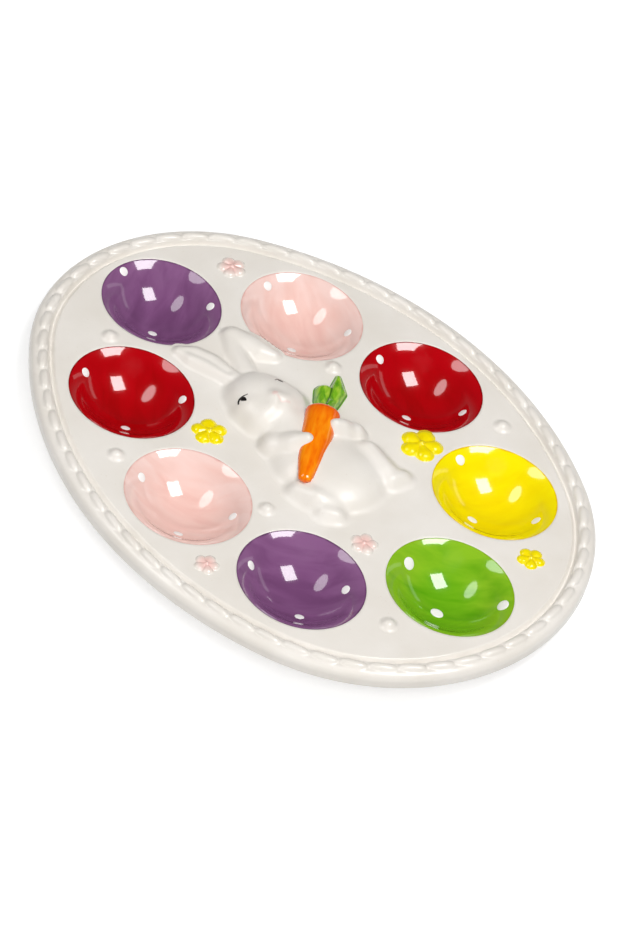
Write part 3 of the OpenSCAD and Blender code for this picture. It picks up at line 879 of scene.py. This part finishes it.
class Finish:
    """A glaze or bisque made of nodes on the piece's own coordinates."""

    def __init__(self, name, roughness, coat=0.0, shine=0.5, gloss=1.5):
        self.material = bpy.data.materials.new(name)
        self.material.use_nodes = True
        self.tree = self.material.node_tree
        self.shader = self.tree.nodes["Principled BSDF"]
        self.shader.inputs["Roughness"].default_value = roughness
        self.shader.inputs["Coat Weight"].default_value = coat
        self.shader.inputs["Coat Roughness"].default_value = COAT_ROUGHNESS
        self.shader.inputs["Coat IOR"].default_value = gloss
        self.shader.inputs["Specular IOR Level"].default_value = shine
        self.place = self.tree.nodes.new("ShaderNodeTexCoord").outputs["Object"]

    def join(self, source, target):
        self.tree.links.new(source, target)

    def noise(self, size, detail=3.0, stretch=(1, 1, 1), turn=0.0, distortion=0.0, shift=0.0):
        """Noise whose grains measure about size, drawn out along an axis by stretch."""
        moved = self.tree.nodes.new("ShaderNodeMapping")
        moved.vector_type = "TEXTURE"
        moved.inputs["Location"].default_value = (shift * MM, shift * MM, 0)
        moved.inputs["Rotation"].default_value = (0, 0, turn)
        moved.inputs["Scale"].default_value = tuple(size * MM * s for s in stretch)
        self.join(self.place, moved.inputs["Vector"])
        grain = self.tree.nodes.new("ShaderNodeTexNoise")
        grain.inputs["Scale"].default_value = 1.0
        grain.inputs["Detail"].default_value = detail
        grain.inputs["Distortion"].default_value = distortion
        self.join(moved.outputs["Vector"], grain.inputs["Vector"])
        return grain.outputs["Fac"]

    def ramp(self, value, stops):
        node = self.tree.nodes.new("ShaderNodeValToRGB")
        while len(node.color_ramp.elements) < len(stops):
            node.color_ramp.elements.new(0.5)
        for element, (position, colour) in zip(node.color_ramp.elements, stops):
            element.position = position
            element.color = (*colour, 1)
        self.join(value, node.inputs["Fac"])
        return node.outputs["Color"]

    def level(self, value, low, high):
        """Spreads the values between low and high over 0 to 1."""
        node = self.tree.nodes.new("ShaderNodeMapRange")
        node.interpolation_type = "SMOOTHSTEP"
        node.inputs["From Min"].default_value = low
        node.inputs["From Max"].default_value = high
        self.join(value, node.inputs["Value"])
        return node.outputs["Result"]

    def mix(self, factor, below, above):
        """Above over below; either may be a colour or a socket."""
        node = self.tree.nodes.new("ShaderNodeMix")
        node.data_type = "RGBA"
        self.join(factor, node.inputs["Factor"])
        colours = [s for s in node.inputs if s.type == "RGBA"]
        for socket, value in zip(colours, (below, above)):
            if isinstance(value, tuple):
                socket.default_value = (*value, 1)
            else:
                self.join(value, socket)
        return [s for s in node.outputs if s.type == "RGBA"][0]

    def math(self, kind, a, b=0.0):
        node = self.tree.nodes.new("ShaderNodeMath")
        node.operation = kind
        for socket, value in zip(node.inputs, (a, b)):
            if isinstance(value, (int, float)):
                socket.default_value = value
            else:
                self.join(value, socket)
        return node.outputs["Value"]

    def reach(self, well):
        """Distance from the middle of a well, 1 at its edge, seen from above."""
        moved = self.tree.nodes.new("ShaderNodeMapping")
        moved.vector_type = "TEXTURE"
        moved.inputs["Scale"].default_value = (well.edge * well.narrowing * MM, well.edge * MM, 1e6)
        self.join(self.place, moved.inputs["Vector"])
        length = self.tree.nodes.new("ShaderNodeVectorMath")
        length.operation = "LENGTH"
        self.join(moved.outputs["Vector"], length.inputs[0])
        return length.outputs["Value"]

    def attribute(self, name):
        node = self.tree.nodes.new("ShaderNodeAttribute")
        node.attribute_name = name
        return node.outputs["Fac"]

    def colour(self, socket):
        self.join(socket, self.shader.inputs["Base Color"])

    def bump(self, value, depth):
        node = self.tree.nodes.new("ShaderNodeBump")
        node.inputs["Distance"].default_value = depth * MM
        node.inputs["Strength"].default_value = 1.0
        self.join(value, node.inputs["Height"])
        self.join(node.outputs["Normal"], self.shader.inputs["Normal"])


def srgb(red, green, blue):
    """A colour as a screen shows it, from 0 to 255, turned into light."""
    shares = (red / 255, green / 255, blue / 255)
    return tuple(s / 12.92 if s <= 0.04045 else ((s + 0.055) / 1.055) ** 2.4 for s in shares)


def white_glaze(finish):
    """Warm off-white with faint clouds and a few specks."""
    clouds = finish.ramp(finish.noise(26, 4), ((0.3, srgb(228, 222, 213)), (0.7, srgb(236, 231, 224))))
    specks = finish.level(finish.noise(1.1, 2), 0.735, 0.76)
    return finish.mix(finish.math("MULTIPLY", specks, 0.3), clouds, srgb(196, 178, 150))


def body_finish():
    finish = Finish("white glaze", 0.3, 0.25)
    finish.colour(white_glaze(finish))
    finish.bump(finish.noise(9, 2), 0.12)
    return finish.material


def bisque_finish():
    finish = Finish("bare clay", 0.85)
    grain = finish.noise(0.8, 5)
    finish.colour(finish.ramp(grain, ((0.35, srgb(206, 196, 180)), (0.65, srgb(226, 218, 205)))))
    finish.bump(grain, 0.15)
    return finish.material


def relief_finish():
    finish = Finish("rabbit glaze", 0.36, 0.12)
    finish.colour(finish.mix(finish.attribute("tint"), white_glaze(finish), srgb(226, 150, 140)))
    finish.bump(finish.noise(5, 2), 0.1)
    return finish.material


# Thick, plain and thin colour of each glaze, the thin one also reached by painted light up the wall, the
# colour of its edge, and the turn of the brush
WELL_COLOURS = {
    "purple": ((112, 68, 110), (124, 78, 122), (138, 92, 136), (92, 56, 92), 0.6),
    "pink": ((234, 188, 178), (240, 200, 190), (244, 212, 204), (226, 172, 164), 0.9),
    "red": ((160, 0, 4), (174, 0, 8), (182, 0, 12), (120, 0, 6), 0.4),
    "yellow": ((240, 212, 0), (246, 222, 0), (250, 232, 2), (226, 180, 0), 1.2),
    "green": ((92, 162, 10), (112, 174, 22), (140, 190, 36), (134, 168, 22), 0.2),
}


def lining_finish(well, kind, seed):
    """Brushed colour glaze: streaks of thick and thin colour, painted light that makes it paler up the wall,
    and a line at the edge.
    """
    dark, plain, light, edge, turn = WELL_COLOURS[kind]
    finish = Finish("glaze " + well.name, 0.16, 1.0, 0.2, 1.6)
    streaks = finish.noise(7.0, 3, (3.6, 1, 1.6), turn + 0.3 * seed, 0.5, 40 * seed)
    # paler towards the edge of the well: painted light on the upper wall
    upper_wall_light = finish.math("MULTIPLY", finish.level(finish.reach(well), 0.2, 1.0), 0.3)
    shade = finish.math("ADD", finish.math("MULTIPLY", streaks, 0.75), upper_wall_light)
    brushed = finish.ramp(shade, ((0.3, srgb(*dark)), (0.48, srgb(*plain)), (0.7, srgb(*light))))
    wobble = finish.math("MULTIPLY", finish.noise(6, 2, shift=11 * seed), 0.06)
    ragged = finish.math("ADD", finish.reach(well), wobble)
    line = finish.level(ragged, 1.0, 1.04)
    finish.colour(finish.mix(line, brushed, srgb(*edge)))
    finish.bump(streaks, 0.08)
    return finish.material


def dot_finish():
    finish = Finish("dot glaze", 0.3, 0.25)
    finish.colour(finish.ramp(finish.noise(3, 2), ((0.35, srgb(247, 244, 241)), (0.65, srgb(252, 250, 248)))))
    return finish.material


def carrot_finish():
    finish = Finish("carrot glaze", 0.16, 0.7)
    strokes = finish.noise(2.4, 2, (4.0, 1.0, 1.4), math.radians(39), 0.4)
    stops = ((0.3, srgb(242, 108, 0)), (0.5, srgb(250, 130, 2)), (0.7, srgb(254, 152, 16)))
    brushed = finish.ramp(strokes, stops)
    finish.colour(finish.mix(finish.attribute("tint"), brushed, srgb(232, 72, 6)))
    finish.bump(strokes, 0.12)
    return finish.material


def leaf_finish():
    finish = Finish("leaf glaze", 0.16, 0.7)
    strokes = finish.noise(2.2, 3, (2.6, 0.8, 1), math.radians(42), 0.5)
    stops = ((0.3, srgb(86, 156, 24)), (0.5, srgb(132, 192, 36)), (0.72, srgb(182, 216, 70)))
    brushed = finish.ramp(strokes, stops)
    finish.colour(finish.mix(finish.attribute("tint"), brushed, srgb(56, 110, 20)))
    finish.bump(strokes, 0.2)
    return finish.material


# Two shades of the petals, and the colour washed and drawn over them
FLOWER_COLOURS = {
    "yellow": ((244, 222, 0), (250, 232, 6), (214, 160, 0)),
    "pink": ((233, 226, 217), (238, 232, 224), (238, 186, 178)),
}


def flower_finish(kind):
    low, high, line = FLOWER_COLOURS[kind]
    finish = Finish("flower glaze " + kind, 0.18, 0.6)
    petals = finish.ramp(finish.noise(3.0, 3), ((0.35, srgb(*low)), (0.65, srgb(*high))))
    finish.colour(finish.mix(finish.attribute("tint"), petals, srgb(*line)))
    finish.bump(finish.noise(2.5, 2), 0.1)
    return finish.material


def paint_finish():
    finish = Finish("black underglaze", 0.2, 0.6)
    finish.colour(finish.ramp(finish.noise(1.2, 3), ((0.4, srgb(20, 18, 18)), (0.7, srgb(46, 40, 38)))))
    return finish.material


# Stage


# Camera of the photograph; its focal length is in pixels of a picture this high
CAMERA_PLACE = (-1019.12, -883.24, 1323.98)
CAMERA_AZIMUTH = math.radians(-49.286)
CAMERA_ELEVATION = math.radians(44.343)
CAMERA_ROLL = math.radians(13.430)
FOCUS_PIXELS = 4262.7
PHOTO_HEIGHT = 931
SENSOR = 36.0


def add_camera():
    data = bpy.data.cameras.new("camera")
    data.sensor_fit = "VERTICAL"
    data.sensor_height = SENSOR
    data.lens = FOCUS_PIXELS / PHOTO_HEIGHT * SENSOR
    data.clip_end = 20
    flat = math.cos(CAMERA_ELEVATION)
    sine = math.sin(CAMERA_AZIMUTH)
    cosine = math.cos(CAMERA_AZIMUTH)
    back = Vector((sine * flat, -cosine * flat, math.sin(CAMERA_ELEVATION)))
    right = Vector((cosine, sine, 0))
    up = back.cross(right)
    across = math.cos(CAMERA_ROLL) * right + math.sin(CAMERA_ROLL) * up
    upward = math.cos(CAMERA_ROLL) * up - math.sin(CAMERA_ROLL) * right
    turned = Matrix((across, upward, back)).transposed().to_4x4()
    camera = bpy.data.objects.new("camera", data)
    camera.matrix_world = Matrix.Translation(Vector(CAMERA_PLACE) * MM) @ turned
    bpy.context.scene.collection.objects.link(camera)
    bpy.context.scene.camera = camera


# Shape of each lamp, the direction to it, its distance, width, height, turn in degrees and power
LAMPS = {
    "key": ("RECTANGLE", (0.157, -0.28, 0.945), 1.7, 0.62, 0.68, -13, 14.5),
    "second": ("ELLIPSE", (-0.335, 0.405, 0.85), 1.7, 0.95, 0.46, 17, 4.4),
    "strip": ("RECTANGLE", (0.911, -0.153, 0.382), 1.7, 0.2, 0.9, 0, 0.4),
    "front": ("RECTANGLE", (-0.52, -0.46, 0.71), 2.4, 1.6, 1.2, 0, 37.0),
}


def add_lamps():
    middle = Vector((0, 0, FLOOR_Z)) * MM
    for name, (shape, aim, distance, width, height, turn, power) in LAMPS.items():
        data = bpy.data.lights.new(name, "AREA")
        data.shape = shape
        data.size = width
        data.size_y = height
        data.energy = power
        lamp = bpy.data.objects.new(name, data)
        direction = Vector(aim).normalized()
        across = Vector((0, 1, 0)).cross(direction).normalized()
        upright = direction.cross(across)
        rolled = Matrix.Rotation(math.radians(turn), 3, "Z")
        facing = Matrix((across, upright, direction)).transposed() @ rolled
        lamp.matrix_world = Matrix.Translation(middle + direction * distance) @ facing.to_4x4()
        lamp.visible_glossy = name != "front"
        bpy.context.scene.collection.objects.link(lamp)


WORLD_COLOUR = (1.0, 0.99, 0.975, 1)
WALL_LIGHT = 0.2
CEILING_LIGHT = 0.03
# Heights on the sky, as sines of the angle over the horizon, between which the walls fade out
WALL_FADE = (0.0, 0.4)


def add_world():
    """Grey studio walls round the horizon under a dark ceiling."""
    world = bpy.data.worlds.new("studio")
    world.use_nodes = True
    tree = world.node_tree
    sky = tree.nodes["Background"]
    sky.inputs["Color"].default_value = WORLD_COLOUR
    place = tree.nodes.new("ShaderNodeTexCoord")
    parts = tree.nodes.new("ShaderNodeSeparateXYZ")
    fade = tree.nodes.new("ShaderNodeMapRange")
    fade.interpolation_type = "SMOOTHSTEP"
    values = (*WALL_FADE, WALL_LIGHT, CEILING_LIGHT)
    for label, value in zip(("From Min", "From Max", "To Min", "To Max"), values):
        fade.inputs[label].default_value = value
    tree.links.new(place.outputs["Generated"], parts.inputs["Vector"])
    tree.links.new(parts.outputs["Z"], fade.inputs["Value"])
    tree.links.new(fade.outputs["Result"], sky.inputs["Strength"])
    bpy.context.scene.world = world


FLOOR_REACH = 4000.0
TABLE_COLOUR = (0.65, 0.65, 0.65, 1)
TABLE_GLOW = 0.55


def add_floor():
    """A plain pale table that is white to the camera and keeps the shadow."""
    mesh = bpy.data.meshes.new("table")
    reach = FLOOR_REACH * MM
    corners = [(-reach, -reach, 0), (reach, -reach, 0), (reach, reach, 0), (-reach, reach, 0)]
    mesh.from_pydata(corners, [], [(0, 1, 2, 3)])
    table = bpy.data.objects.new("table", mesh)
    bpy.context.scene.collection.objects.link(table)
    material = bpy.data.materials.new("table white")
    material.use_nodes = True
    tree = material.node_tree
    shader = tree.nodes["Principled BSDF"]
    shader.inputs["Base Color"].default_value = TABLE_COLOUR
    shader.inputs["Roughness"].default_value = 0.9
    shader.inputs["Specular IOR Level"].default_value = 0.0
    shader.inputs["Emission Color"].default_value = (1, 1, 1, 1)
    path = tree.nodes.new("ShaderNodeLightPath")
    seen = path.outputs["Is Camera Ray"]
    for other in ("Is Glossy Ray", "Is Transmission Ray"):
        node = tree.nodes.new("ShaderNodeMath")
        node.operation = "MAXIMUM"
        tree.links.new(seen, node.inputs[0])
        tree.links.new(path.outputs[other], node.inputs[1])
        seen = node.outputs["Value"]
    glow = tree.nodes.new("ShaderNodeMath")
    glow.operation = "MULTIPLY"
    glow.inputs[1].default_value = TABLE_GLOW
    tree.links.new(seen, glow.inputs[0])
    tree.links.new(glow.outputs["Value"], shader.inputs["Emission Strength"])
    mesh.materials.append(material)


WELLS = [Well(name) for name in WELL_NAMES]
BEAD_NAMES = ("ear", "left", "belly", "carrot", "right", "low")
FLOWER_TURNS = {
    "yellow_left": 0.93, "yellow_right": 0.5, "yellow_low": 0.2,
    "pink_top": 0.0, "pink_left": 0.4, "pink_low": 0.6,
}


def build():
    white = body_finish()
    relief_white = relief_finish()
    dots = dot_finish()
    body = platter_body(WELLS, [white, bisque_finish()])
    bowls = ["well_bowl_" + well.name for well in WELLS]
    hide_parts("platter_floor", "rim_border", "foot_ring", "border_stitches", *bowls)
    for seed, well in enumerate(WELLS):
        well_lining(well, lining_finish(well, well.name.split("_")[0], seed))
        well_dots(well, dots)
    for name in BEAD_NAMES:
        floor_bead(name, white)
    petals = {kind: flower_finish(kind) for kind in FLOWER_COLOURS}
    for name, turn in FLOWER_TURNS.items():
        floor_flower(name, petals[name.split("_")[0]], turn)
    surface = rabbit_relief()
    rabbit = surface.piece("rabbit_relief", [relief_white])
    limbs = [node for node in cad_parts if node.startswith("rabbit_")]
    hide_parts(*limbs)
    rabbit_eyes(surface, paint_finish())
    carrot_root(carrot_finish())
    carrot_leaves(leaf_finish())


bpy.context.scene.view_settings.view_transform = "Standard"
add_camera()
add_lamps()
add_world()
add_floor()
build()
